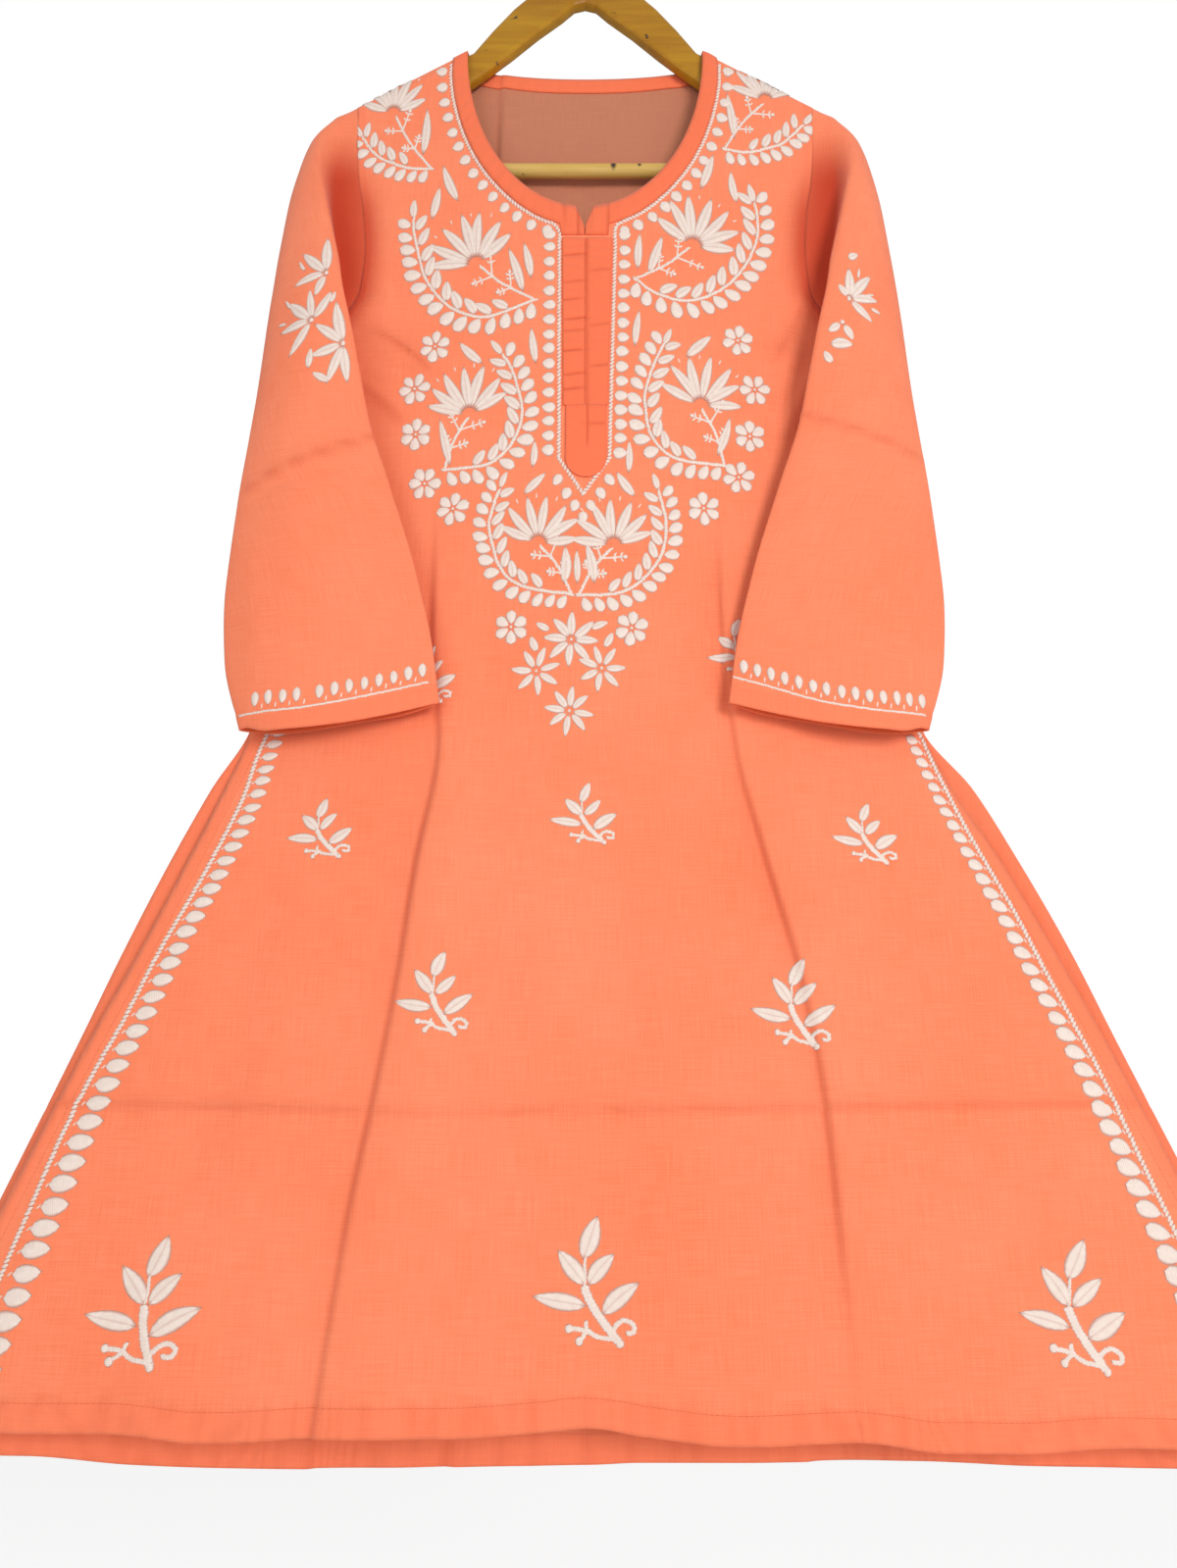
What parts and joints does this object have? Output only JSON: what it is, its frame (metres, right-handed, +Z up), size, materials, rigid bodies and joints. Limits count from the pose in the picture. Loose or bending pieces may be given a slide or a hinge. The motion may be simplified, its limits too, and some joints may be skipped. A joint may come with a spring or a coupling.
{
  "type": "kurta tunic on a wooden hanger",
  "caption": "Embroidered cotton kurta tunic with three-quarter sleeves, banded neck, placket and side slits, hanging flat on a wooden hanger.",
  "frame": {"origin": "inside top of the hanger's hook, where a rail carries it", "axes": "+Z up; X runs across the garment from its viewer's left sleeve to its right; the embroidered front faces -Y"},
  "size_m": [0.8294, 0.0657, 1.2618],
  "materials": {
    "cotton": "coral cotton, plain weave, matt",
    "cotton_double": "the same cotton in turned double layers, more saturated",
    "thread": "off-white cotton embroidery thread, soft satin stitch",
    "wood": "golden varnished wood",
    "steel": "bright drawn wire"
  },
  "bodies": {
    "root": {"front_panel": "cotton", "back_panel": "cotton", "sleeve_left": "cotton", "sleeve_right": "cotton", "neck_band_left": "cotton_double", "neck_band_right": "cotton_double", "back_neck_facing": "cotton_double", "placket_left": "cotton_double", "placket_right": "cotton_double", "placket_tongue": "cotton_double", "hanger_arms": "wood", "hanger_bar": "wood", "hanger_hook": "steel"}
  },
  "joints": []
}
